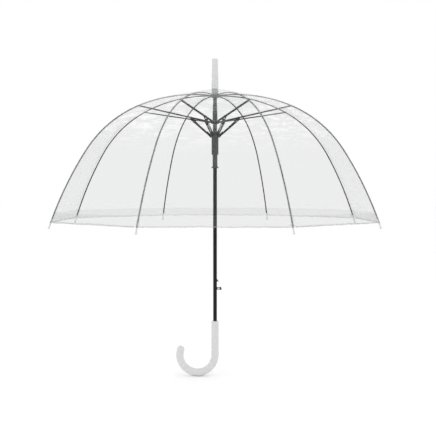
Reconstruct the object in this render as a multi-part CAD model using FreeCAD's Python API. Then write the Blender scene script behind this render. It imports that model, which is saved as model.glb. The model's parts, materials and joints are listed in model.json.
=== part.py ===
# Stick umbrella with a clear dome canopy, self-opening, in millimetres.
# The origin is under the lowest point of the crook, on the shaft's axis, with +Z up.
# Each rib lies in its own upright plane, 45 degrees from the next. Rib parts are made in
# the XZ plane, with X as the distance from the shaft, and then turned to their places.
import FreeCAD, Part
import math
import os
from FreeCAD import Vector

# Overall sizes
TOTAL_LENGTH = 830.0
RIB_COUNT = 8
FIRST_RIB_ANGLE = 22.5
CLOSED_TILT = 2.0

# Clearances that several fits share, and how far a cut passes the face that it opens
RUN_FIT = 0.08
SIDE_GAP = 0.2
OVERCUT = 1.0

# Shaft and handle
SHAFT_RADIUS = 5.0
SHAFT_WALL = 0.8
SHAFT_TOP_COVER = 18.0
HANDLE_RADIUS = 9.7
HANDLE_TOP_Z = 145.6
HANDLE_SOCKET = 60.0
HANDLE_CHAMFER = 1.2
CROOK_RADIUS = 46.4
CROOK_SWEEP = 198.0

# Ferrule
FERRULE_LENGTH = 77.6
FERRULE_BASE_WALL = 4.3
FERRULE_TIP_RADIUS = 7.75
FERRULE_TIP_LENGTH = 12.0

# Crown
HINGE_OUTSIDE_SHAFT = 3.0
CROWN_LUG = 2.5
CROWN_NECK_WALL = 3.5
CROWN_ABOVE_HINGE = 5.5
CROWN_BELOW_HINGE = 4.5
CROWN_TOP_ABOVE_HINGE = 17.0
EYE_BACK_GAP = 0.24
EYE_TOP_GAP = 0.6

# Ribs: three tangent arcs, each with its length and its slope below level at both ends
RIB_RADIUS = 1.5
RIB_SLOPES = (-4.0, 23.8, 57.4, 71.0)
INNER_RIB_LENGTH = 203.5
MIDDLE_ARC_LENGTH = 178.0
LOWER_ARC_LENGTH = 209.1
TIP_LENGTH = 22.0
TIP_WALL = 0.45
TIP_SOCKET = 12.0
TIP_BEAD = 0.65

# Hinges of the ribs, stretchers and links
WIRE_RADIUS = 0.6
PIN_RADIUS = 0.6
EYE_WALL = 0.5
EYE_THICKNESS = 1.6
EYE_LENGTH = 14.0
ROD_IN_EYE = 7.0
BAR_INSET = 0.15
TONGUE_THICKNESS = 1.2
TONGUE_LENGTH = 7.0
TONGUE_FIT = 0.1
ROD_END_GAP = 1.0
KNUCKLE_GAP = 0.5
RIVET_HEAD_LEDGE = 0.7
RIVET_HEAD = 0.4

# Stretchers: channels that are open underneath
CHANNEL_FIT = 0.3
CHANNEL_WALL = 0.5
CHANNEL_HEIGHT = 3.0
CHANNEL_START = 8.0
FORK_LENGTH = 7.0

# Links
LINK_PIVOT_DISTANCE = 60.0
LINK_FIT = 0.1
LINK_WALL = 0.5
LINK_HEIGHT = 4.4
LINK_BRIDGE = 8.0
LINK_WAIST = 2.6

# Upper runner
UPPER_SLEEVE_WALL = 1.25
UPPER_SLEEVE_TOP = 28.0
UPPER_SLEEVE_BOTTOM = 4.9
WIRE_BACK_GAP = 0.4
UPPER_LUG = 2.2
UPPER_RING_HALF = 2.8

# Lower runner
RUNNER_SPREAD = 35.7
LOWER_HINGE_OUT = 2.5
LOWER_LUG = 2.5
LOWER_FLANGE_HALF = 3.0
LINK_BACK_GAP = 0.4
LINK_SLOT_GAP = 0.3
LUG_ROOT_HALF = 0.244
LOWER_BODY_LENGTH = 48.0
LOWER_TUBE_WALL = 1.35
LOWER_RUNNER_LENGTH = 83.0
LOWER_RIM = 3.5
CHAMBER_DEPTH = 44.0
GROOVE_COUNT = 16
GROOVE_RADIUS = 0.8
GROOVE_DEPTH = 0.533
WINDOW_ABOVE_END = 12.5
WINDOW_HEIGHT = 8.5
WINDOW_SIDE_GAP = 0.4

# Springs and stop pin
SPRING_WIRE_RADIUS = 0.6
SPRING_SHAFT_GAP = 0.2
SPRING_CHAMBER_GAP = 0.3
MAIN_SPRING_PITCH = 3.4
BUFFER_SPRING_PITCH = 2.6
BUFFER_SPRING_LENGTH = 16.0
SPRING_END_GAP = 0.1
STOP_PIN_RADIUS = 1.0
STOP_PIN_OUT = 2.5

# Catch and push button, on the +X side of the shaft
CATCH_PLAY = 0.3
CATCH_HEIGHT = 7.0
CATCH_OUT = 4.7
CATCH_IN = 2.0
CATCH_WIDTH = 2.6
BUTTON_BELOW_RUNNER = 1.3
BUTTON_HEIGHT = 8.2
BUTTON_OUT = 12.6
BUTTON_HEAD = 4.6
BUTTON_HEAD_WIDTH = 6.0
BUTTON_FOOT = 0.5
BUTTON_EDGE = 0.8
BUTTON_LIP = 2.0
BUTTON_NOSE = 1.4
BUTTON_SHOULDER = 2.2
STEM_WIDTH = 3.2
STEM_ARM = 2.0
STEM_SPACE = 2.0
STEM_ROOT = 1.5
SLOT_GAP = 0.15
LEAF_THICKNESS = 0.4
LEAF_WIDTH = 2.4
LEAF_MARGIN = 12.0

# Canopy
FILM_THICKNESS = 0.4
FILM_OVER_EYE = 0.4
FILM_HUB_GAP = 1.0
FILM_HUB_LEDGE = 0.3
HEM_ABOVE_TIP = 12.0

UP = Vector(0, 0, 1)
AXIS = Vector(0, 0, 0)
ACROSS = Vector(0, 1, 0)
SECTOR = 360.0 / RIB_COUNT


def point(radius, z):
    return Vector(radius, 0, z)


def tube(outer, inner, z_low, z_high):
    """A round tube, or a rod where inner is 0, about the shaft's axis."""
    height = z_high - z_low
    body = Part.makeCylinder(outer, height, point(0, z_low))
    if inner > 0:
        body = body.cut(Part.makeCylinder(inner, height + 2 * OVERCUT, point(0, z_low - OVERCUT)))
    return body


def block(x_low, x_high, half_width, z_low, z_high):
    """A box that is centred on the XZ plane."""
    corner = Vector(x_low, -half_width, z_low)
    return Part.makeBox(x_high - x_low, 2 * half_width, z_high - z_low, corner)


def disc(x, z, radius, half_width):
    """A short cylinder across the XZ plane, as at an eye or a pin."""
    return Part.makeCylinder(radius, 2 * half_width, Vector(x, -half_width, z), ACROSS)


def ring(radius, wire_radius, z):
    return Part.makeTorus(radius, wire_radius, point(0, z))


def turned(shape, angle):
    copy = shape.copy()
    copy.rotate(AXIS, UP, angle)
    return copy


def rib_angle(number):
    return FIRST_RIB_ANGLE + SECTOR * (number - 1)


def around(shape, start=FIRST_RIB_ANGLE):
    """Copies of one shape, one for each rib."""
    return [turned(shape, start + SECTOR * k) for k in range(RIB_COUNT)]


def outline(corners, half_width):
    """A plate across the XZ plane with straight edges."""
    points = [Vector(x, -half_width, z) for x, z in corners]
    face = Part.Face(Part.makePolygon(points + points[:1]))
    return face.extrude(Vector(0, 2 * half_width, 0))


class Arc:
    """One arc of the rib's centreline. Slopes are degrees below level."""

    def __init__(self, start, slopes, length):
        self.slopes = slopes
        self.start = start
        self.length = length
        self.radius = length / math.radians(slopes[1] - slopes[0])
        self.centre = start - self.outward(slopes[0]) * self.radius
        self.end = self.at(length)

    @staticmethod
    def outward(slope):
        angle = math.radians(slope)
        return Vector(math.sin(angle), 0, math.cos(angle))

    def slope_at(self, distance):
        turn = self.slopes[1] - self.slopes[0]
        return self.slopes[0] + turn * distance / self.length

    def at(self, distance, offset=0.0):
        slope = self.slope_at(distance)
        return self.centre + self.outward(slope) * (self.radius + offset)

    def rod(self, low, high, radius):
        """A round rod along the arc, from one distance to another."""
        slope = self.slope_at(low)
        along = ACROSS.cross(self.outward(slope))
        circle = Part.Face(Part.Wire(Part.Circle(self.at(low), along, radius).toShape()))
        return circle.revolve(self.centre, ACROSS, self.slope_at(high) - slope)

    def edge(self, low, high, offset):
        middle = (low + high) / 2
        return Part.Arc(self.at(low, offset), self.at(middle, offset), self.at(high, offset)).toShape()


# Radii that stand on the shaft, the rib's rod and the hinge wire
CROWN_HINGE_RADIUS = SHAFT_RADIUS + HINGE_OUTSIDE_SHAFT
CROWN_RADIUS = CROWN_HINGE_RADIUS + CROWN_LUG
CROWN_NECK_RADIUS = SHAFT_RADIUS + CROWN_NECK_WALL
FERRULE_BASE_RADIUS = SHAFT_RADIUS + FERRULE_BASE_WALL
FILM_HUB_RADIUS = SHAFT_RADIUS + FILM_HUB_GAP
FILM_HUB_FLAT = FERRULE_BASE_RADIUS + FILM_HUB_LEDGE
EYE_RADIUS = RIB_RADIUS + EYE_WALL
TIP_RADIUS = RIB_RADIUS + TIP_WALL
FILM_GAP = EYE_RADIUS + FILM_OVER_EYE
RIVET_HEAD_RADIUS = PIN_RADIUS + RIVET_HEAD_LEDGE
SHAFT_BORE = SHAFT_RADIUS - SHAFT_WALL
RUNNER_BORE = SHAFT_RADIUS + RUN_FIT
PIN_HOLE = PIN_RADIUS + RUN_FIT
WIRE_HOLE = WIRE_RADIUS + RUN_FIT
EYE_SLOT_RADIUS = CROWN_HINGE_RADIUS - EYE_RADIUS - EYE_BACK_GAP
UPPER_SLEEVE_RADIUS = SHAFT_RADIUS + UPPER_SLEEVE_WALL
UPPER_RING_RADIUS = CROWN_HINGE_RADIUS - WIRE_RADIUS - WIRE_BACK_GAP
UPPER_CHEEK_RADIUS = CROWN_HINGE_RADIUS + UPPER_LUG
SPRING_RADIUS = SHAFT_RADIUS + SPRING_SHAFT_GAP + SPRING_WIRE_RADIUS
CHAMBER_RADIUS = SPRING_RADIUS + SPRING_WIRE_RADIUS + SPRING_CHAMBER_GAP
LOWER_TUBE_RADIUS = SHAFT_RADIUS + LOWER_TUBE_WALL

# Widths across a rib's plane. The lower runner's lugs stand between the links.
CHANNEL_INSIDE = 2 * (RIB_RADIUS + CHANNEL_FIT)
CHANNEL_HALF = CHANNEL_INSIDE / 2 + CHANNEL_WALL
LINK_INSIDE = 2 * (CHANNEL_HALF + LINK_FIT)
LINK_HALF = LINK_INSIDE / 2 + LINK_WALL
LINK_SLOT_HALF = LINK_HALF + LINK_SLOT_GAP
LOWER_BODY_RADIUS = (LINK_SLOT_HALF + LUG_ROOT_HALF) / math.sin(math.radians(SECTOR / 2))
LOWER_HINGE_RADIUS = LOWER_BODY_RADIUS + LOWER_HINGE_OUT
LOWER_FLANGE_RADIUS = LOWER_HINGE_RADIUS + LOWER_LUG
LOWER_SLOT_INNER = LOWER_HINGE_RADIUS - LINK_HEIGHT / 2 - LINK_BACK_GAP

# Heights down from the ferrule's end, and the rib's line
FERRULE_BASE_Z = TOTAL_LENGTH - FERRULE_LENGTH
CROWN_TOP_Z = FERRULE_BASE_Z - FILM_THICKNESS
CROWN_HINGE_Z = CROWN_TOP_Z - CROWN_TOP_ABOVE_HINGE
SHAFT_BOTTOM_Z = HANDLE_TOP_Z - HANDLE_SOCKET
SHAFT_TOP_Z = TOTAL_LENGTH - SHAFT_TOP_COVER
CROWN_HINGE = point(CROWN_HINGE_RADIUS, CROWN_HINGE_Z)
INNER_ARC = Arc(CROWN_HINGE, RIB_SLOPES[0:2], INNER_RIB_LENGTH)
MIDDLE_ARC = Arc(INNER_ARC.end, RIB_SLOPES[1:3], MIDDLE_ARC_LENGTH)
LOWER_ARC = Arc(MIDDLE_ARC.end, RIB_SLOPES[2:4], LOWER_ARC_LENGTH)
CLIP = INNER_ARC.end

# The stretcher is as long as the rib's inner chord, so the upper runner slides straight.
UPPER_HINGE = point(CROWN_HINGE_RADIUS, 2 * CLIP.z - CROWN_HINGE_Z)
STRETCHER_LENGTH = CLIP.distanceToPoint(UPPER_HINGE)
STRETCHER_RISE = math.degrees(math.atan2(CLIP.z - UPPER_HINGE.z, CLIP.x - UPPER_HINGE.x))
LOWER_HINGE = point(LOWER_HINGE_RADIUS, UPPER_HINGE.z - RUNNER_SPREAD)
LINK_TOP = UPPER_HINGE + (CLIP - UPPER_HINGE) * (LINK_PIVOT_DISTANCE / STRETCHER_LENGTH)
LINK_LENGTH = LINK_TOP.distanceToPoint(LOWER_HINGE)
LINK_RISE = math.degrees(math.atan2(LINK_TOP.z - LOWER_HINGE.z, LINK_TOP.x - LOWER_HINGE.x))
LOWER_END_Z = LOWER_HINGE.z - LOWER_RUNNER_LENGTH
CHAMBER_FLOOR_Z = LOWER_HINGE.z - CHAMBER_DEPTH
HEM_Z = LOWER_ARC.end.z + HEM_ABOVE_TIP

# Where the lower runner's end comes to rest with the canopy closed: the ribs and stretchers
# lie CLOSED_TILT off the shaft, and the catch then stands in the runner's window.
CLOSED_COS = math.cos(math.radians(CLOSED_TILT))
CLOSED_SIN = math.sin(math.radians(CLOSED_TILT))
CLOSED_PIVOT_Z = CROWN_HINGE_Z - (2 * STRETCHER_LENGTH - LINK_PIVOT_DISTANCE) * CLOSED_COS
CLOSED_PIVOT_OUT = CROWN_HINGE_RADIUS + LINK_PIVOT_DISTANCE * CLOSED_SIN - LOWER_HINGE_RADIUS
CLOSED_LINK_DROP = math.sqrt(LINK_LENGTH ** 2 - CLOSED_PIVOT_OUT ** 2)
CLOSED_END_Z = CLOSED_PIVOT_Z - CLOSED_LINK_DROP - LOWER_RUNNER_LENGTH
CATCH_Z = CLOSED_END_Z + WINDOW_ABOVE_END + CATCH_PLAY
BUTTON_Z = CLOSED_END_Z - BUTTON_BELOW_RUNNER - BUTTON_HEIGHT
STEM_HEIGHT = 2 * STEM_ARM + STEM_SPACE
STEM_Z = BUTTON_Z + (BUTTON_HEIGHT - STEM_HEIGHT) / 2


def shaft():
    """Steel tube with a slot for the catch, one for the button and a hole for the stop pin."""
    body = tube(SHAFT_RADIUS, SHAFT_BORE, SHAFT_BOTTOM_Z, SHAFT_TOP_Z)
    catch_slot = block(0, SHAFT_RADIUS + OVERCUT, CATCH_WIDTH / 2 + SLOT_GAP,
                       CATCH_Z - SLOT_GAP, CATCH_Z + CATCH_HEIGHT + SLOT_GAP)
    stem_slot = block(0, SHAFT_RADIUS + OVERCUT, STEM_WIDTH / 2 + SLOT_GAP,
                      STEM_Z - SLOT_GAP, STEM_Z + STEM_HEIGHT + SLOT_GAP)
    return body.cut([catch_slot, stem_slot, stop_pin()])


def handle():
    """Crook: a straight socket, a bend and a domed end, moulded in one."""
    bend_z = CROOK_RADIUS + HANDLE_RADIUS
    chamfer_z = HANDLE_TOP_Z - HANDLE_CHAMFER
    straight = tube(HANDLE_RADIUS, 0, bend_z, chamfer_z)
    rim = Part.makeCone(HANDLE_RADIUS, HANDLE_RADIUS - HANDLE_CHAMFER, HANDLE_CHAMFER, point(0, chamfer_z))
    circle = Part.Face(Part.Wire(Part.Circle(point(0, bend_z), UP, HANDLE_RADIUS).toShape()))
    centre = point(-CROOK_RADIUS, bend_z)
    bend = circle.revolve(centre, ACROSS, CROOK_SWEEP)
    sweep = math.radians(CROOK_SWEEP)
    end = centre + point(math.cos(sweep), -math.sin(sweep)) * CROOK_RADIUS
    dome = Part.makeSphere(HANDLE_RADIUS, end)
    body = straight.fuse([rim, bend, dome]).removeSplitter()
    return body.cut(tube(SHAFT_RADIUS, 0, SHAFT_BOTTOM_Z, HANDLE_TOP_Z + OVERCUT))


def ferrule():
    """Tapered end cap over the top of the shaft. Its end is the walking tip."""
    tip_z = TOTAL_LENGTH - FERRULE_TIP_LENGTH
    taper = Part.makeCone(FERRULE_BASE_RADIUS, FERRULE_TIP_RADIUS, tip_z - FERRULE_BASE_Z,
                          point(0, FERRULE_BASE_Z))
    body = taper.fuse(tube(FERRULE_TIP_RADIUS, 0, tip_z, TOTAL_LENGTH))
    return body.cut(tube(SHAFT_RADIUS, 0, FERRULE_BASE_Z - OVERCUT, SHAFT_TOP_Z))


def eye_slot(outer_radius, z_low, z_high):
    """The slot that an eye turns in, from inside its wire to past the rim."""
    return block(EYE_SLOT_RADIUS, outer_radius + OVERCUT, EYE_THICKNESS / 2 + SIDE_GAP, z_low, z_high)


def crown():
    """Top notch: eight slots, open outwards and below, with lugs that hold the wire."""
    low = CROWN_HINGE_Z - CROWN_BELOW_HINGE
    middle = CROWN_HINGE_Z + CROWN_ABOVE_HINGE
    body = tube(CROWN_RADIUS, SHAFT_RADIUS, low, middle)
    body = body.fuse(tube(CROWN_NECK_RADIUS, SHAFT_RADIUS, middle, CROWN_TOP_Z))
    slot = eye_slot(CROWN_RADIUS, low - OVERCUT, CROWN_HINGE_Z + EYE_RADIUS + EYE_TOP_GAP)
    return body.cut(around(slot) + [ring(CROWN_HINGE_RADIUS, WIRE_RADIUS, CROWN_HINGE_Z)])


def rib_inner():
    """Inner half of a rib: an eye on the crown's wire, a rod, and a tongue at the clip."""
    rod_end = INNER_RIB_LENGTH - EYE_RADIUS - ROD_END_GAP
    rod = INNER_ARC.rod(ROD_IN_EYE, rod_end, RIB_RADIUS)
    height = RIB_RADIUS - BAR_INSET
    eye_bar = block(0, EYE_LENGTH, EYE_THICKNESS / 2, -height, height)
    eye_bar.rotate(AXIS, ACROSS, RIB_SLOPES[0])
    eye_bar.translate(CROWN_HINGE)
    tongue = block(-TONGUE_LENGTH, 0, TONGUE_THICKNESS / 2, -height, height)
    tongue.rotate(AXIS, ACROSS, RIB_SLOPES[1])
    tongue.translate(CLIP)
    eye = disc(CROWN_HINGE.x, CROWN_HINGE.z, EYE_RADIUS, EYE_THICKNESS / 2)
    end = disc(CLIP.x, CLIP.z, RIB_RADIUS, TONGUE_THICKNESS / 2)
    body = rod.fuse([eye_bar, tongue, eye, end])
    holes = [disc(CROWN_HINGE.x, CROWN_HINGE.z, WIRE_HOLE, EYE_THICKNESS),
             disc(CLIP.x, CLIP.z, PIN_HOLE, TONGUE_THICKNESS)]
    return body.cut(holes)


def rib_outer():
    """Outer half of a rib: a fork at the clip and a rod that ends inside the tip."""
    rod_end = LOWER_ARC_LENGTH - TIP_LENGTH + TIP_SOCKET
    knuckle = disc(CLIP.x, CLIP.z, RIB_RADIUS, RIB_RADIUS)
    middle = MIDDLE_ARC.rod(0, MIDDLE_ARC_LENGTH, RIB_RADIUS)
    body = knuckle.fuse([middle, LOWER_ARC.rod(0, rod_end, RIB_RADIUS)])
    slot = disc(CLIP.x, CLIP.z, EYE_RADIUS + KNUCKLE_GAP, TONGUE_THICKNESS / 2 + TONGUE_FIT)
    return body.cut([slot, disc(CLIP.x, CLIP.z, PIN_HOLE, RIB_RADIUS + OVERCUT)])


def tip():
    """Moulded rib tip, pressed over the end of the rod, with a bead on its end."""
    start = LOWER_ARC_LENGTH - TIP_LENGTH
    body = LOWER_ARC.rod(start, LOWER_ARC_LENGTH, TIP_RADIUS)
    body = body.fuse(Part.makeSphere(TIP_RADIUS + TIP_BEAD, LOWER_ARC.end))
    return body.cut(LOWER_ARC.rod(start, start + TIP_SOCKET, RIB_RADIUS))


def rivet(x, half_grip):
    """A pin across the channel with a head on each side."""
    length = half_grip + RIVET_HEAD
    heads = [Part.makeCylinder(RIVET_HEAD_RADIUS, RIVET_HEAD, Vector(x, side, 0), ACROSS)
             for side in (-length, half_grip)]
    return disc(x, 0, PIN_RADIUS, length).fuse(heads).removeSplitter()


def stretcher():
    """Channel from the upper runner to the clip, and its two rivets."""
    half = CHANNEL_HEIGHT / 2
    fork = STRETCHER_LENGTH - FORK_LENGTH
    body = block(CHANNEL_START, STRETCHER_LENGTH, CHANNEL_HALF, -half, half)
    body = body.fuse(disc(STRETCHER_LENGTH, 0, EYE_RADIUS, CHANNEL_HALF))
    end = STRETCHER_LENGTH + EYE_RADIUS + OVERCUT
    eye_reach = EYE_RADIUS + OVERCUT
    inside = block(CHANNEL_START - OVERCUT, end, CHANNEL_INSIDE / 2, -half - OVERCUT, half - CHANNEL_WALL)
    fork_gap = block(fork, end, CHANNEL_INSIDE / 2, -eye_reach, eye_reach)
    body = body.cut([inside, fork_gap])
    eye = disc(0, 0, EYE_RADIUS, EYE_THICKNESS / 2)
    body = body.fuse([eye, block(0, EYE_LENGTH, EYE_THICKNESS / 2, -half, half)])
    clip_rivet = rivet(STRETCHER_LENGTH, CHANNEL_HALF)
    link_rivet = rivet(LINK_PIVOT_DISTANCE, LINK_HALF + LINK_FIT)
    body = body.cut([disc(0, 0, WIRE_HOLE, EYE_THICKNESS), clip_rivet, link_rivet])
    return placed(Part.makeCompound([body, clip_rivet, link_rivet]), STRETCHER_RISE, UPPER_HINGE)


def placed(shape, rise, origin):
    """Turn a part that was made level up to its slope, and move it to its lower hinge."""
    shape.rotate(AXIS, ACROSS, -rise)
    shape.translate(origin)
    return shape


def link():
    """Two waisted side plates joined by two bridges. The foot is open inwards and past its end."""
    half = LINK_HEIGHT / 2
    body = block(0, LINK_LENGTH, LINK_HALF, -half, half)
    body = body.fuse([disc(x, 0, half, LINK_HALF) for x in (0, LINK_LENGTH)])
    reach = half + OVERCUT
    body = body.cut(block(-reach, LINK_LENGTH + reach, LINK_INSIDE / 2, -reach, reach))
    bridges = [block(x, x + LINK_BRIDGE, LINK_HALF, -half, -half + LINK_WALL)
               for x in (LINK_BRIDGE, LINK_LENGTH - 2 * LINK_BRIDGE)]
    body = body.fuse(bridges)
    seat = block(-reach, WIRE_HOLE, LINK_HALF + OVERCUT, -WIRE_HOLE, reach)
    waist = block(2 * LINK_BRIDGE, LINK_LENGTH - 2 * LINK_BRIDGE, LINK_HALF + OVERCUT,
                  LINK_WAIST - half, reach)
    body = body.cut([seat, waist, disc(LINK_LENGTH, 0, PIN_HOLE, LINK_HALF + OVERCUT)])
    return placed(body, LINK_RISE, LOWER_HINGE)


def upper_runner():
    """Sleeve with a slotted ring of cheeks that holds the stretchers' wire."""
    z = UPPER_HINGE.z
    low = z - UPPER_SLEEVE_BOTTOM
    high = z + UPPER_SLEEVE_TOP
    ring_low = z - UPPER_RING_HALF
    ring_high = z + UPPER_RING_HALF
    sleeve = tube(UPPER_SLEEVE_RADIUS, 0, low, high)
    hub = tube(UPPER_RING_RADIUS, 0, ring_low, ring_high)
    cheek = block(SHAFT_RADIUS, UPPER_CHEEK_RADIUS, LINK_INSIDE / 2 - SIDE_GAP, ring_low, ring_high)
    slot = eye_slot(UPPER_CHEEK_RADIUS, ring_low - OVERCUT, ring_high + OVERCUT)
    body = sleeve.fuse([hub] + around(cheek))
    bore = tube(RUNNER_BORE, 0, low - OVERCUT, high + OVERCUT)
    return body.cut([bore, ring(CROWN_HINGE_RADIUS, WIRE_RADIUS, z)] + around(slot))


def lower_runner():
    """Flange with eight lugs, a grooved barrel over the spring, and a tube with a window."""
    z = LOWER_HINGE.z
    flange_low = z - LOWER_FLANGE_HALF
    flange_high = z + LOWER_FLANGE_HALF
    barrel_low = z - LOWER_BODY_LENGTH
    flange = tube(LOWER_FLANGE_RADIUS, 0, flange_low, flange_high)
    slot = block(LOWER_SLOT_INNER, LOWER_FLANGE_RADIUS + OVERCUT, LINK_SLOT_HALF,
                 flange_low - OVERCUT, flange_high + OVERCUT)
    flange = flange.cut(around(slot) + [ring(LOWER_HINGE_RADIUS, WIRE_RADIUS, z)])
    barrel = tube(LOWER_BODY_RADIUS, 0, barrel_low, z)
    groove_low = barrel_low + LOWER_RIM
    groove_length = LOWER_BODY_LENGTH - LOWER_FLANGE_HALF - 2 * LOWER_RIM
    groove_out = LOWER_BODY_RADIUS + GROOVE_RADIUS - GROOVE_DEPTH
    groove = Part.makeCylinder(GROOVE_RADIUS, groove_length, point(groove_out, groove_low))
    barrel = barrel.cut([turned(groove, 360.0 / GROOVE_COUNT * k) for k in range(GROOVE_COUNT)])
    neck = tube(LOWER_TUBE_RADIUS, 0, LOWER_END_Z, barrel_low)
    rim = tube(LOWER_BODY_RADIUS, 0, LOWER_END_Z, LOWER_END_Z + LOWER_RIM)
    body = flange.fuse([barrel, neck, rim])
    window_z = LOWER_END_Z + WINDOW_ABOVE_END
    window = block(0, LOWER_BODY_RADIUS, CATCH_WIDTH / 2 + WINDOW_SIDE_GAP,
                   window_z, window_z + WINDOW_HEIGHT)
    chamber = tube(CHAMBER_RADIUS, 0, CHAMBER_FLOOR_Z, flange_high + OVERCUT)
    bore = tube(RUNNER_BORE, 0, LOWER_END_Z - OVERCUT, z)
    return body.cut([chamber, bore, window])


def coil(pitch, z_low, z_high):
    """A round-wire coil spring on the shaft."""
    low = z_low + SPRING_WIRE_RADIUS + SPRING_END_GAP
    height = z_high - z_low - 2 * (SPRING_WIRE_RADIUS + SPRING_END_GAP)
    path = Part.makeHelix(pitch, height, SPRING_RADIUS)
    section = Part.Wire(Part.Circle(Vector(SPRING_RADIUS, 0, 0), ACROSS, SPRING_WIRE_RADIUS).toShape())
    spring = path.makePipeShell([section], True, True)
    spring.translate(point(0, low))
    return spring


def main_spring():
    return coil(MAIN_SPRING_PITCH, CHAMBER_FLOOR_Z, UPPER_HINGE.z - UPPER_SLEEVE_BOTTOM)


def buffer_spring():
    low = UPPER_HINGE.z + UPPER_SLEEVE_TOP
    return coil(BUFFER_SPRING_PITCH, low, low + BUFFER_SPRING_LENGTH)


def stop_pin():
    """Cross pin through the shaft, above the buffer spring."""
    z = UPPER_HINGE.z + UPPER_SLEEVE_TOP + BUFFER_SPRING_LENGTH + STOP_PIN_RADIUS
    return disc(0, z, STOP_PIN_RADIUS, SHAFT_RADIUS + STOP_PIN_OUT)


def catch():
    """Wedge with a flat underside: it holds the runner's window from below."""
    inner = SHAFT_RADIUS - CATCH_IN
    top = CATCH_Z + CATCH_HEIGHT
    corners = [(inner, CATCH_Z), (SHAFT_RADIUS + CATCH_OUT, CATCH_Z), (SHAFT_RADIUS, top), (inner, top)]
    return outline(corners, CATCH_WIDTH / 2)


def push_button():
    """Head on a two-armed stem. The head leans back at the top, for the thumb."""
    out = SHAFT_RADIUS + BUTTON_OUT
    back = out - BUTTON_HEAD
    foot = BUTTON_Z + BUTTON_FOOT
    top = BUTTON_Z + BUTTON_HEIGHT
    nose = out - BUTTON_LIP
    corners = [(back, foot), (out - BUTTON_EDGE, foot), (out, BUTTON_Z + BUTTON_LIP),
               (nose, top), (nose - BUTTON_NOSE, top), (back, top - BUTTON_SHOULDER)]
    head = outline(corners, BUTTON_HEAD_WIDTH / 2)
    stem = block(SHAFT_RADIUS - CATCH_IN, back + OVERCUT, STEM_WIDTH / 2, STEM_Z, STEM_Z + STEM_HEIGHT)
    space_z = STEM_Z + STEM_ARM
    space = block(SHAFT_RADIUS + STEM_ROOT, back - OVERCUT, STEM_WIDTH, space_z, space_z + STEM_SPACE)
    return head.fuse(stem).cut(space)


def catch_spring():
    """Leaf inside the shaft, behind the catch and the button, with its back to the wall."""
    back = -math.sqrt(SHAFT_BORE ** 2 - (LEAF_WIDTH / 2) ** 2)
    top = CATCH_Z + CATCH_HEIGHT + LEAF_MARGIN
    return block(back, back + LEAF_THICKNESS, LEAF_WIDTH / 2, BUTTON_Z - LEAF_MARGIN, top)


def film_start(offset):
    """Where a line from the hub runs smoothly onto the film's arc."""
    hub = point(FILM_HUB_FLAT, CROWN_TOP_Z + offset - FILM_GAP)
    reach = hub - INNER_ARC.centre
    radius = INNER_ARC.radius + offset
    angle = math.atan2(reach.x, reach.z) + math.acos(radius / reach.Length)
    turn = (math.degrees(angle) - RIB_SLOPES[0]) / (RIB_SLOPES[1] - RIB_SLOPES[0])
    return hub, turn * INNER_RIB_LENGTH


def film_edges(offset, end):
    """One face of the film along a rib: hub, sloping line and three arcs."""
    hub, start = film_start(offset)
    rim = point(FILM_HUB_RADIUS, hub.z)
    return [Part.makeLine(rim, hub), Part.makeLine(hub, INNER_ARC.at(start, offset)),
            INNER_ARC.edge(start, INNER_RIB_LENGTH, offset),
            MIDDLE_ARC.edge(0, MIDDLE_ARC_LENGTH, offset),
            LOWER_ARC.edge(0, end, offset)]


def gore():
    """One panel of film between two ribs: curved along its length and straight across."""
    outside = FILM_GAP + FILM_THICKNESS
    inner = film_edges(FILM_GAP, LOWER_ARC_LENGTH)
    outer = film_edges(outside, LOWER_ARC_LENGTH)
    hub_edge = Part.makeLine(inner[0].Vertexes[0].Point, outer[0].Vertexes[0].Point)
    hem_edge = Part.makeLine(inner[-1].Vertexes[-1].Point, outer[-1].Vertexes[-1].Point)
    face = Part.Face(Part.Wire(Part.__sortEdges__(inner + [hem_edge] + outer + [hub_edge])))
    flatten = FreeCAD.Matrix()
    flatten.scale(math.cos(math.radians(SECTOR / 2)), 1, 1)
    face = face.transformGeometry(flatten)
    reach = LOWER_ARC.end.x + outside + OVERCUT
    sheet = face.copy()
    sheet.translate(Vector(0, -reach / 2, 0))
    sheet = sheet.extrude(Vector(0, reach, 0))
    side = reach * math.tan(math.radians(SECTOR / 2))
    corners = [Vector(0, 0, HEM_Z), Vector(reach, -side, HEM_Z), Vector(reach, side, HEM_Z)]
    wedge = Part.Face(Part.makePolygon(corners + corners[:1])).extrude(UP * TOTAL_LENGTH)
    return sheet.common(wedge)


def canopy():
    """Eight film panels that meet over the ribs."""
    panels = around(gore(), FIRST_RIB_ANGLE + SECTOR / 2)
    return Part.makeCompound([panel.Solids[0] for panel in panels])


def crown_wire():
    return ring(CROWN_HINGE_RADIUS, WIRE_RADIUS, CROWN_HINGE_Z)


def upper_runner_wire():
    return ring(CROWN_HINGE_RADIUS, WIRE_RADIUS, UPPER_HINGE.z)


def lower_runner_wire():
    return ring(LOWER_HINGE_RADIUS, WIRE_RADIUS, LOWER_HINGE.z)


def save(shape, name):
    os.makedirs("parts", exist_ok=True)
    shape.exportStep("parts/" + name + ".step")


SINGLE_PARTS = (shaft, handle, ferrule, crown, crown_wire, buffer_spring, stop_pin, canopy,
                main_spring, upper_runner, upper_runner_wire, lower_runner, lower_runner_wire,
                catch, push_button, catch_spring)
RIB_PARTS = (rib_inner, rib_outer, tip, stretcher, link)

for make in SINGLE_PARTS:
    save(make(), make.__name__)
for make in RIB_PARTS:
    pattern = make()
    for number in range(1, RIB_COUNT + 1):
        save(turned(pattern, rib_angle(number)), make.__name__ + "_" + str(number))
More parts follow.
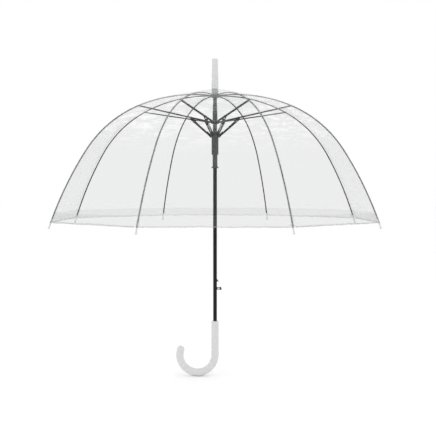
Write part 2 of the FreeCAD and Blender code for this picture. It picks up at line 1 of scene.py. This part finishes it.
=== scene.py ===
import bpy
import json
import math
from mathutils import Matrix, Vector


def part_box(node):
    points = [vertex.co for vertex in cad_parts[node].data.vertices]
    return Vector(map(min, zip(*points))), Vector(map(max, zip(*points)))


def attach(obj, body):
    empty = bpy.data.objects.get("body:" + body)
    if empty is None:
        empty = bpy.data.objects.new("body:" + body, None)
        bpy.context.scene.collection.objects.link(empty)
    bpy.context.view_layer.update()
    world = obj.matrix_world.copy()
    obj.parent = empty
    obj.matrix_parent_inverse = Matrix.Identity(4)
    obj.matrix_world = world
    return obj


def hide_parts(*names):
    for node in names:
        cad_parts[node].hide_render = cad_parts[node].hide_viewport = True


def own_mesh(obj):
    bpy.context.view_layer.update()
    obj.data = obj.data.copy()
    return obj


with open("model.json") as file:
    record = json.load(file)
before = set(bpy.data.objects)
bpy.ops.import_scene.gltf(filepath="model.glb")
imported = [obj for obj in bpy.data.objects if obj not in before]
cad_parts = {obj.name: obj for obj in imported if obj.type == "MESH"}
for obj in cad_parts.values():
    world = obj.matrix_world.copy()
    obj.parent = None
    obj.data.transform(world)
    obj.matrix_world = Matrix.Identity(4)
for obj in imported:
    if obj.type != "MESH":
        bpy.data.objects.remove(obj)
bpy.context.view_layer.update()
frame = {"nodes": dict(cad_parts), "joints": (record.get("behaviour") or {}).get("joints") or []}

# Viewing place: about two metres in front and just under half a metre up, looking level
# at the open canopy from slightly below its ribs. The lens is a short portrait one.
CAMERA_DISTANCE = 1.940
CAMERA_HEIGHT = 0.4854
CAMERA_PITCH = 2.03
CAMERA_PAN = 0.23
LENS_MM = 61.2
SENSOR_MM = 36.0

bpy.ops.object.select_all(action="DESELECT")
bpy.ops.object.camera_add(
    location=(0, -CAMERA_DISTANCE, CAMERA_HEIGHT),
    rotation=(math.radians(90 - CAMERA_PITCH), 0, math.radians(-CAMERA_PAN)),
)
camera = bpy.context.object
camera.data.lens = LENS_MM
camera.data.sensor_width = SENSOR_MM
bpy.context.scene.camera = camera


# Studio: a white room, a broad lamp overhead and a long one at each side. The lamps at the
# sides draw the soft stripes down the lacquered shaft.
ROOM_WHITE = "#FFFFFF"
ROOM_LIGHT = 1.0
# Each lamp: its name, place, turn in degrees, width in metres, and watts.
LAMPS = (
    ("overhead_lamp", (0.0, -0.3, 2.6), (0, 0, 0), 2.4, 5),
    ("left_lamp", (-2.2, -1.6, 1.4), (70, 0, -54), 1.2, 4),
    ("right_lamp", (2.3, -1.2, 1.1), (76, 0, 62), 1.2, 2),
)


def linear(hex_colour):
    """An sRGB hex colour as linear red, green, blue and 1."""
    parts = [int(hex_colour[k:k + 2], 16) / 255 for k in (1, 3, 5)]
    return [c / 12.92 if c <= 0.04045 else ((c + 0.055) / 1.055) ** 2.4 for c in parts] + [1.0]


def add_node(material, kind, values, links=None, **settings):
    """Add one node, set its sockets, and link it from (node, output) pairs."""
    node = material.node_tree.nodes.new(kind)
    for name, value in settings.items():
        setattr(node, name, value)
    for socket, value in values.items():
        node.inputs[socket].default_value = value
    for socket, (source, output) in (links or {}).items():
        material.node_tree.links.new(source.outputs[output], node.inputs[socket])
    return node


room = bpy.data.worlds.new("white_room")
room.use_nodes = True
room.node_tree.nodes["Background"].inputs["Color"].default_value = linear(ROOM_WHITE)
room.node_tree.nodes["Background"].inputs["Strength"].default_value = ROOM_LIGHT
bpy.context.scene.world = room
bpy.context.scene.view_settings.view_transform = "Standard"

for name, place, turn, size, watts in LAMPS:
    turned = [math.radians(degrees) for degrees in turn]
    bpy.ops.object.light_add(type="AREA", location=place, rotation=turned)
    lamp = bpy.context.object
    lamp.name = name
    lamp.data.shape = "SQUARE"
    lamp.data.size = size
    lamp.data.energy = watts


# Floor: a wide sheet of matte white card under the crook. It runs so far back that its
# edge is lost in the white room, as on a studio sweep.
FLOOR_SIZE = 60.0
FLOOR_WHITE = "#FFFFFF"
FLOOR_ROUGHNESS = 0.9

bpy.ops.mesh.primitive_plane_add(size=FLOOR_SIZE)
floor = bpy.context.object
floor.name = "floor"
floor_paint = bpy.data.materials.new("matte_white_paint")
floor_paint.use_nodes = True
paint = floor_paint.node_tree.nodes["Principled BSDF"]
paint.inputs["Base Color"].default_value = linear(FLOOR_WHITE)
paint.inputs["Roughness"].default_value = FLOOR_ROUGHNESS
floor.data.materials.append(floor_paint)


# Shaft, ribs, stretchers and links: thin steel, dipped in black lacquer. The lacquer is
# glossy on the drawn shaft, and duller with a light orange peel on the pressed frame.
RIB_COUNT = 8
RIBS = range(1, RIB_COUNT + 1)
PEEL_MM = 0.8
PEEL_DEPTH = 0.00004
DUST_MM = 6.0
DUST_SHARE = 1.7
DUST_LIFT = 0.004
LACQUER_IOR = 1.45
LACQUER_SPECULAR = 0.25
LACQUER_COAT_ROUGHNESS = 0.12
LACQUER_SPREAD = (-0.07, 0.09)
# Most of a noise's values lie between these two.
NOISE_LOW, NOISE_HIGH = 0.3, 0.7
# A colour Mix node's sockets go by number.
MIX_A, MIX_B, MIX_RESULT = 6, 7, 2


def object_coordinates(material):
    return add_node(material, "ShaderNodeTexCoord", {})


def uneven_gloss(material, noise, roughness, spread):
    """Roughness that drifts with a noise. Spread is how far below and above it goes."""
    return add_node(material, "ShaderNodeMapRange",
                    {"From Min": NOISE_LOW, "From Max": NOISE_HIGH,
                     "To Min": roughness + spread[0], "To Max": roughness + spread[1]},
                    {"Value": (noise, "Fac")})


def uneven_tint(material, noise, first, second):
    """A colour that drifts with a noise from the first to the second."""
    return add_node(material, "ShaderNodeMix", {MIX_A: first, MIX_B: second}, {0: (noise, "Fac")},
                    data_type="RGBA")


def lacquered_steel(name, hex_colour, roughness, coat, peel):
    """Black lacquer on steel: the base colour and gloss drift a little, over a fine peel."""
    material = bpy.data.materials.new(name)
    material.use_nodes = True
    shader = material.node_tree.nodes["Principled BSDF"]
    shader.inputs["IOR"].default_value = LACQUER_IOR
    shader.inputs["Specular IOR Level"].default_value = LACQUER_SPECULAR
    shader.inputs["Coat Weight"].default_value = coat
    shader.inputs["Coat Roughness"].default_value = LACQUER_COAT_ROUGHNESS
    where = object_coordinates(material)
    link = material.node_tree.links.new
    drift = add_node(material, "ShaderNodeTexNoise", {"Scale": 1000 / DUST_MM, "Detail": 4.0},
                     {"Vector": (where, "Object")})
    gloss = uneven_gloss(material, drift, roughness, LACQUER_SPREAD)
    link(gloss.outputs["Result"], shader.inputs["Roughness"])
    dark = linear(hex_colour)
    dusty = [c * DUST_SHARE + DUST_LIFT for c in dark[:3]] + [1.0]
    tint = uneven_tint(material, drift, dark, dusty)
    link(tint.outputs[MIX_RESULT], shader.inputs["Base Color"])
    grain = add_node(material, "ShaderNodeTexNoise", {"Scale": 1000 / PEEL_MM, "Detail": 2.0},
                     {"Vector": (where, "Object")})
    bump = add_node(material, "ShaderNodeBump", {"Strength": peel, "Distance": PEEL_DEPTH},
                    {"Height": (grain, "Fac")})
    link(bump.outputs["Normal"], shader.inputs["Normal"])
    return material


def finish(material, *names):
    """Give CAD nodes this material in every slot."""
    for name in names:
        for slot in frame["nodes"][name].material_slots:
            slot.material = material


shaft_lacquer = lacquered_steel("black_lacquered_tube", "#020203", roughness=0.36, coat=0.04, peel=0.25)
frame_lacquer = lacquered_steel("black_lacquered_steel", "#020203", roughness=0.42, coat=0.0, peel=0.6)
finish(shaft_lacquer, "shaft")
for part in ("rib_inner", "rib_outer", "stretcher", "link"):
    finish(frame_lacquer, *[f"{part}_{n}" for n in RIBS])


# Hinge wires, springs and the stop pin: drawn steel wire. The wires are bright zinc, and
# the springs are duller galvanised wire, with the fine scratches of the drawing die.
SCRATCH_MM = 0.5
WIRE_SPREAD = (-0.1, 0.12)
WIRE_DULL = 0.6


def drawn_wire(name, hex_colour, roughness):
    """Drawn steel wire: grey metal whose gloss changes in fine streaks."""
    material = bpy.data.materials.new(name)
    material.use_nodes = True
    shader = material.node_tree.nodes["Principled BSDF"]
    shader.inputs["Metallic"].default_value = 1.0
    where = object_coordinates(material)
    streak = add_node(material, "ShaderNodeTexNoise", {"Scale": 1000 / SCRATCH_MM, "Detail": 3.0},
                      {"Vector": (where, "Object")})
    gloss = uneven_gloss(material, streak, roughness, WIRE_SPREAD)
    grey = linear(hex_colour)
    dull = [c * WIRE_DULL for c in grey[:3]] + [1.0]
    tint = uneven_tint(material, streak, dull, grey)
    material.node_tree.links.new(gloss.outputs["Result"], shader.inputs["Roughness"])
    material.node_tree.links.new(tint.outputs[MIX_RESULT], shader.inputs["Base Color"])
    return material


bright_wire = drawn_wire("zinc_plated_wire", "#B4B5B6", roughness=0.3)
spring_wire = drawn_wire("galvanised_spring_wire", "#B0B1B3", roughness=0.34)
finish(bright_wire, "crown_wire", "upper_runner_wire", "lower_runner_wire")
finish(spring_wire, "catch_spring", "buffer_spring", "stop_pin")


# Crown, runners, catch and button: dark grey acetal, moulded with a fine spark texture
# that scatters the light, and rubbed a little paler where it slides.
SPARK_MM = 0.35
RUB_MM = 9.0
PLASTIC_IOR = 1.48
PLASTIC_GLOW_DEPTH = 0.002
PLASTIC_SPREAD = (-0.05, 0.08)
PLASTIC_LIFT = 0.01
GRAIN_DEPTH = 0.00005


def moulded_plastic(name, hex_colour, roughness, texture, rubbed, grain_mm, glow=0.0):
    """Moulded plastic: a fine surface texture, and slow changes of tone and gloss."""
    material = bpy.data.materials.new(name)
    material.use_nodes = True
    shader = material.node_tree.nodes["Principled BSDF"]
    shader.inputs["IOR"].default_value = PLASTIC_IOR
    shader.inputs["Subsurface Weight"].default_value = glow
    shader.inputs["Subsurface Scale"].default_value = PLASTIC_GLOW_DEPTH
    where = object_coordinates(material)
    link = material.node_tree.links.new
    slow = add_node(material, "ShaderNodeTexNoise", {"Scale": 1000 / RUB_MM, "Detail": 3.0},
                    {"Vector": (where, "Object")})
    gloss = uneven_gloss(material, slow, roughness, PLASTIC_SPREAD)
    colour = linear(hex_colour)
    paler = [min(1.0, c * (1 + rubbed) + rubbed * PLASTIC_LIFT) for c in colour[:3]] + [1.0]
    tint = uneven_tint(material, slow, colour, paler)
    grain = add_node(material, "ShaderNodeTexNoise", {"Scale": 1000 / grain_mm, "Detail": 2.0},
                     {"Vector": (where, "Object")})
    bump = add_node(material, "ShaderNodeBump", {"Strength": texture, "Distance": GRAIN_DEPTH},
                    {"Height": (grain, "Fac")})
    link(gloss.outputs["Result"], shader.inputs["Roughness"])
    link(tint.outputs[MIX_RESULT], shader.inputs["Base Color"])
    link(bump.outputs["Normal"], shader.inputs["Normal"])
    return material


dark_acetal = moulded_plastic("dark_grey_acetal", "#37373A", roughness=0.46, texture=0.5, rubbed=0.5,
                              grain_mm=SPARK_MM)
finish(dark_acetal, "crown", "upper_runner", "lower_runner", "catch", "push_button")


# Crook, ferrule and rib tips: white ABS from polished moulds. It is glossy and slightly
# translucent, so its edges glow and its shaded side stays soft.
POLISH_MM = 1.5

white_abs = moulded_plastic("white_abs", "#D2D2D2", roughness=0.24, texture=0.12, rubbed=0.05,
                            grain_mm=POLISH_MM, glow=0.15)
finish(white_abs, "handle", "ferrule", *[f"tip_{n}" for n in RIBS])


# Main spring: a cylindrical coil of round wire on the shaft, closed up by the lower runner
# as the canopy folds. It is a circle of wire carried round by a screw.
SPRING_WIRE = 0.0006
SPRING_PITCH = 0.0034
SPRING_STEPS = 20
SPRING_SIDES = 10
SPRING_MERGE = 0.00001

low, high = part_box("main_spring")
spring_radius = (high[0] - low[0]) / 2 - SPRING_WIRE
spring_length = high[2] - low[2] - 2 * SPRING_WIRE
spring_turns = int(spring_length / SPRING_PITCH)
bpy.ops.object.select_all(action="DESELECT")
bpy.ops.mesh.primitive_circle_add(
    vertices=SPRING_SIDES, radius=SPRING_WIRE, location=(spring_radius, 0, low[2] + SPRING_WIRE),
    rotation=(math.radians(90), 0, 0), fill_type="NOTHING",
)
spring = bpy.context.object
spring.name = "main_spring_coil"
bpy.ops.object.transform_apply(location=True, rotation=True, scale=True)
screw = spring.modifiers.new("wind", "SCREW")
screw.axis = "Z"
screw.screw_offset = spring_length / spring_turns
screw.iterations = spring_turns
screw.steps = SPRING_STEPS
screw.render_steps = SPRING_STEPS
bpy.ops.object.modifier_apply(modifier="wind")
bpy.ops.object.mode_set(mode="EDIT")
bpy.ops.mesh.select_all(action="SELECT")
bpy.ops.mesh.remove_doubles(threshold=SPRING_MERGE)
bpy.ops.mesh.select_all(action="DESELECT")
bpy.ops.mesh.select_non_manifold()
bpy.ops.mesh.edge_face_add()
bpy.ops.mesh.select_all(action="SELECT")
bpy.ops.mesh.normals_make_consistent(inside=False)
bpy.ops.object.mode_set(mode="OBJECT")
bpy.ops.object.shade_smooth()
spring.data.materials.append(spring_wire)
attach(spring, "upper_runner")
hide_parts("main_spring")
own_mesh(spring)


# Canopy: clear soft plastic film, cut as eight gores that are welded over the ribs and
# hemmed. A half gore each side of a rib is its own sheet, in five lengths that meet edge to
# edge, and each length is carried by its part of the rib.
FILM_COLOUR = "#6E7274"
FILM_IOR = 1.53
FILM_ALPHA = 0.105
EDGE_ALPHA = 0.6
EDGE_POWER = 4.0
FILM_BLOOM = 1.0
FILM_BLOOM_ROUGHNESS = 0.5
FILM_GLOSS = (0.06, 0.16)
HAZE_MM = 60.0
HAZE_LOW, HAZE_HIGH = 0.35, 0.65
FILM_RIPPLE_MM = 45.0
FILM_PUCKER_MM = 14.0
FILM_PUCKER_SHARE = 0.3
FILM_BUMP = 0.6
FILM_BUMP_DEPTH = 0.002

# Painted highlights on the film's creases: white mixed into its colour in streaks, where the
# glints of light on its wrinkles would be. They fade in over the first two heights of the
# band, in metres, and out over the last two.
PAINTED_CREASE_HIGHLIGHT = "#FFFFFF"
CREASE_LONG_MM = 46.0
CREASE_WIDE_MM = 9.0
CREASE_LOW, CREASE_HIGH = 0.50, 0.62
CREASE_BAND = ((0.600, 0.650), (0.715, 0.735))

# The ribs' own line, in three arcs: slopes below level in degrees, and lengths in metres.
# The film lies over it by the gap.
RIB_SLOPES = (-4.0, 23.8, 57.4, 71.0)
ARC_LENGTHS = (0.2035, 0.1780, 0.2091)
FILM_GAP = 0.0026
HUB_RADIUS = 0.0096
HUB_HOLE = 0.0060
HUB_RIM = 0.014
HUB_ROWS = 8
CLAMP_GAP = 0.0002
ROWS_PER_ARC = 22
COLUMNS = 14
HEM_ROWS = 3
SEAM_HALF = 0.0025
LAYER_GAP = 0.0003

# Each length's name, and the share of its width that it keeps round the closed frame.
FILM_LENGTHS = (("upper", 0.16), ("shoulder", 0.13), ("middle", 0.18), ("skirt", 0.14), ("lower", 0.08))

# The film's slack, in metres off its taut line, and its waves. Each wave is given in radians
# across a gore, down it, and from one gore to the next; the fan spreads as it goes down.
FILM_LOOSE = 0.0018
RIPPLE_WAVES = ((9, 7, 2.1), (4, 23, 1.7))
CREASE_WAVE = (11, 5, 1)
CREASE_FAN = (31, 2.9)
RIPPLE_SHARE = 0.7
CREASE_SHARE = 0.5
SLACK_RADIUS = 0.12
SLACK_RISE = 0.5

hinge = [Vector(joint["pos_m"]) for joint in frame["joints"] if joint["name"] == "canopy_fold"][0]
hub_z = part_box("crown")[1][2] + CLAMP_GAP
hem_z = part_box("canopy")[0][2]
SECTOR = 2 * math.pi / RIB_COUNT
FIRST_RIB = math.atan2(hinge.y, hinge.x)


def outward(slope):
    return Vector((math.sin(math.radians(slope)), math.cos(math.radians(slope))))


def film_profile():
    """The film's line over a rib, as (distance from the shaft, height), in five lengths."""
    here = Vector((hinge.xy.length, hinge.z))
    lengths = []
    for low, high, length in zip(RIB_SLOPES, RIB_SLOPES[1:], ARC_LENGTHS):
        radius = length / math.radians(high - low)
        centre = here - outward(low) * radius
        slopes = [low + (high - low) * row / ROWS_PER_ARC for row in range(ROWS_PER_ARC + 1)]
        lengths.append([centre + outward(slope) * (radius + FILM_GAP) for slope in slopes])
        here = centre + outward(high) * radius
    hub = Vector((HUB_RADIUS, hub_z))
    top = lengths[0]
    # The film leaves the hub in a straight line, and joins the arc where it can lie on it.
    while (top[1] - top[0]).cross(top[0] - hub) < 0:
        top.pop(0)
    rim_share = (HUB_RIM - HUB_RADIUS) / (top[0].x - HUB_RADIUS)
    rim = hub.lerp(top[0], rim_share)
    lengths[0] = [rim.lerp(top[0], k / HUB_ROWS) for k in range(HUB_ROWS)] + top
    lowest = [p for p in lengths[2] if p.y > hem_z]
    step = lowest[-1] - lowest[-2]
    lengths[2] = lowest + [lowest[-1] + step * ((lowest[-1].y - hem_z) / -step.y)]
    half = ROWS_PER_ARC // 2
    halves = [part for whole in lengths[1:] for part in (whole[:half + 1], whole[half:])]
    return [Vector((HUB_HOLE, hub_z)), hub, rim], [lengths[0]] + halves


def film_slack(share, drop, gore, radius):
    """How far the film stands off its taut line, in gentle waves and finer creases."""
    ripple = 1.0
    for across, down, step in RIPPLE_WAVES:
        ripple *= math.sin(across * share + down * drop + step * gore)
    fan, fan_step = CREASE_FAN
    across, down, step = CREASE_WAVE
    crease = math.sin(fan * share * drop + fan_step * gore)
    crease *= math.sin(across * share + down * drop + step * gore)
    bell = math.sin(math.pi * share) * min(1.0, radius / SLACK_RADIUS)
    return FILM_LOOSE * bell * (RIPPLE_SHARE * ripple + CREASE_SHARE * crease)


def film_point(profile_point, rib, side, across, inside=0.0):
    """A point on the film: across is 0 over the rib and 0.5 in the middle of the gore."""
    radius, height = profile_point
    first = FIRST_RIB + SECTOR * rib
    second = first + SECTOR * side
    a = Vector((radius * math.cos(first), radius * math.sin(first), height))
    b = Vector((radius * math.cos(second), radius * math.sin(second), height))
    middle = (first + second) / 2
    gore = (rib if side > 0 else rib - 1) % RIB_COUNT
    share = across if side > 0 else 1 - across
    drop = (hub_z - height) / (hub_z - hem_z)
    outwards = Vector((math.cos(middle), math.sin(middle), SLACK_RISE)).normalized()
    return a.lerp(b, across) + outwards * (film_slack(share, drop, gore, radius) - inside)


def painted_crease_highlights(material, where):
    """Where a painted highlight lies on the film: 1 in the heart of a crease, and 0 away from them."""
    long, wide = 1000 / CREASE_LONG_MM, 1000 / CREASE_WIDE_MM
    stretched = add_node(material, "ShaderNodeMapping", {"Scale": (long, long, wide)},
                         {"Vector": (where, "Object")})
    streak = add_node(material, "ShaderNodeTexNoise", {"Scale": 1.0, "Detail": 2.0, "Distortion": 1.2},
                      {"Vector": (stretched, "Vector")})
    sharp = add_node(material, "ShaderNodeMapRange", {"From Min": CREASE_LOW, "From Max": CREASE_HIGH},
                     {"Value": (streak, "Fac")})
    place = add_node(material, "ShaderNodeSeparateXYZ", {}, {"Vector": (where, "Object")})
    (low, lower_full), (upper_full, high) = CREASE_BAND
    above = add_node(material, "ShaderNodeMapRange", {"From Min": low, "From Max": lower_full},
                     {"Value": (place, "Z")})
    below = add_node(material, "ShaderNodeMapRange", {"From Min": high, "From Max": upper_full},
                     {"Value": (place, "Z")})
    band = add_node(material, "ShaderNodeMath", {}, {0: (above, "Result"), 1: (below, "Result")},
                    operation="MULTIPLY")
    return add_node(material, "ShaderNodeMath", {}, {0: (band, "Value"), 1: (sharp, "Result")},
                    operation="MULTIPLY")


def rippled_surface(material, where):
    """The bump of the film: broad ripples, and small puckers over them."""
    wave = add_node(material, "ShaderNodeTexNoise",
                    {"Scale": 1000 / FILM_RIPPLE_MM, "Detail": 2.0, "Distortion": 0.8},
                    {"Vector": (where, "Object")})
    pucker = add_node(material, "ShaderNodeTexNoise", {"Scale": 1000 / FILM_PUCKER_MM, "Distortion": 1.5},
                      {"Vector": (where, "Object")})
    puckered = add_node(material, "ShaderNodeMath", {1: FILM_PUCKER_SHARE},
                        {0: (pucker, "Fac"), 2: (wave, "Fac")}, operation="MULTIPLY_ADD")
    return add_node(material, "ShaderNodeBump", {"Strength": FILM_BUMP, "Distance": FILM_BUMP_DEPTH},
                    {"Height": (puckered, "Value")})


def film_material():
    """Clear soft PVC, faintly grey and finely rippled, with painted highlights along its creases. Seen
    edge on, it is less clear.
    """
    material = bpy.data.materials.new("clear_soft_pvc_film")
    material.use_nodes = True
    shader = material.node_tree.nodes["Principled BSDF"]
    shader.inputs["IOR"].default_value = FILM_IOR
    shader.inputs["Sheen Weight"].default_value = FILM_BLOOM
    shader.inputs["Sheen Roughness"].default_value = FILM_BLOOM_ROUGHNESS
    where = object_coordinates(material)
    link = material.node_tree.links.new
    haze = add_node(material, "ShaderNodeTexNoise", {"Scale": 1000 / HAZE_MM, "Detail": 3.0},
                    {"Vector": (where, "Object")})
    gloss = add_node(material, "ShaderNodeMapRange",
                     {"From Min": HAZE_LOW, "From Max": HAZE_HIGH,
                      "To Min": FILM_GLOSS[0], "To Max": FILM_GLOSS[1]},
                     {"Value": (haze, "Fac")})
    bump = rippled_surface(material, where)
    edge_on = add_node(material, "ShaderNodeLayerWeight", {"Blend": 0.5}, {"Normal": (bump, "Normal")})
    steep = add_node(material, "ShaderNodeMath", {1: EDGE_POWER}, {0: (edge_on, "Facing")},
                     operation="POWER")
    veil = add_node(material, "ShaderNodeMapRange", {"To Min": FILM_ALPHA, "To Max": EDGE_ALPHA},
                    {"Value": (steep, "Value")})
    # The film's grey, with white painted highlights mixed in along its creases.
    tint = add_node(material, "ShaderNodeMix", {MIX_A: linear(FILM_COLOUR), MIX_B: linear(PAINTED_CREASE_HIGHLIGHT)},
                    {0: (painted_crease_highlights(material, where), "Value")}, data_type="RGBA")
    link(tint.outputs[MIX_RESULT], shader.inputs["Base Color"])
    link(veil.outputs["Result"], shader.inputs["Alpha"])
    link(gloss.outputs["Result"], shader.inputs["Roughness"])
    link(bump.outputs["Normal"], shader.inputs["Normal"])
    return material


def hem_fold(rows):
    """The rows that the hem's inner layer follows, up from the last but one."""
    return rows[-2:-2 - HEM_ROWS:-1]


def film_sheet(name, rows, rib, side, hemmed):
    """One half gore: its seam allowance is folded under at the rib, and its hem is folded up."""
    chords = [2 * p.x * math.sin(SECTOR / 2) for p in rows]
    seam_share = [SEAM_HALF / max(chord, 2 * SEAM_HALF) for chord in chords]
    shares = [k / COLUMNS / 2 for k in range(COLUMNS + 1)]
    grid = [[film_point(p, rib, side, seam, LAYER_GAP)] + [film_point(p, rib, side, k) for k in shares]
            for p, seam in zip(rows, seam_share)]
    if hemmed:
        for p in hem_fold(rows):
            grid.append([film_point(p, rib, side, k, 2 * LAYER_GAP) for k in [seam_share[-1]] + shares])
    wide = len(grid[0])
    faces = []
    for row in range(len(grid) - 1):
        for column in range(wide - 1):
            corner = row * wide + column
            loop = (corner, corner + wide, corner + wide + 1, corner + 1)
            faces.append(loop if side > 0 else loop[::-1])
    mesh = bpy.data.meshes.new(name)
    mesh.from_pydata([point for line in grid for point in line], [], faces)
    mesh.update()
    mesh.shade_smooth()
    sheet = bpy.data.objects.new(name, mesh)
    bpy.context.collection.objects.link(sheet)
    mesh.materials.append(clear_film)
    return sheet


clear_film = film_material()
hub_rows, lengths = film_profile()
for number in RIBS:
    rib = number - 1
    angle = FIRST_RIB + SECTOR * rib
    radial = Vector((math.cos(angle), math.sin(angle), 0))
    for (name, gathered), rows in zip(FILM_LENGTHS, lengths):
        body = f"rib_inner_{number}" if name == "upper" else f"rib_outer_{number}"
        chord = rows[-1] - rows[0]
        normal = radial * -chord.y + Vector((0, 0, chord.x))
        normal.normalize()
        # The turn at which the half gore would shrink straight towards its rib.
        turn = math.atan(-chord.normalized().y * math.tan(SECTOR / 2))
        hemmed = name == "lower"
        for side, hand in ((1, "left"), (-1, "right")):
            sheet = film_sheet(f"film_{name}_{hand}_{number}", rows, rib, side, hemmed)
            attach(sheet, body)
            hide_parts("canopy")
            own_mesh(sheet)


# Canopy's centre: the middle of the film. It is clamped flat between the crown and the
# ferrule, with a hole for the shaft, and goes on from there to the upper sheets.
HUB_STEPS = 2

points = [film_point(p, rib, 1, k / HUB_STEPS)
          for p in hub_rows for rib in range(RIB_COUNT) for k in range(HUB_STEPS)]
around = RIB_COUNT * HUB_STEPS
faces = [(row * around + k, (row + 1) * around + k,
          (row + 1) * around + (k + 1) % around, row * around + (k + 1) % around)
         for row in range(len(hub_rows) - 1) for k in range(around)]
hub_mesh = bpy.data.meshes.new("film_centre")
hub_mesh.from_pydata(points, [], faces)
hub_mesh.update()
hub_mesh.shade_smooth()
hub_film = bpy.data.objects.new("film_centre", hub_mesh)
bpy.context.collection.objects.link(hub_film)
hub_mesh.materials.append(clear_film)
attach(hub_film, "root")
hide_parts("canopy")
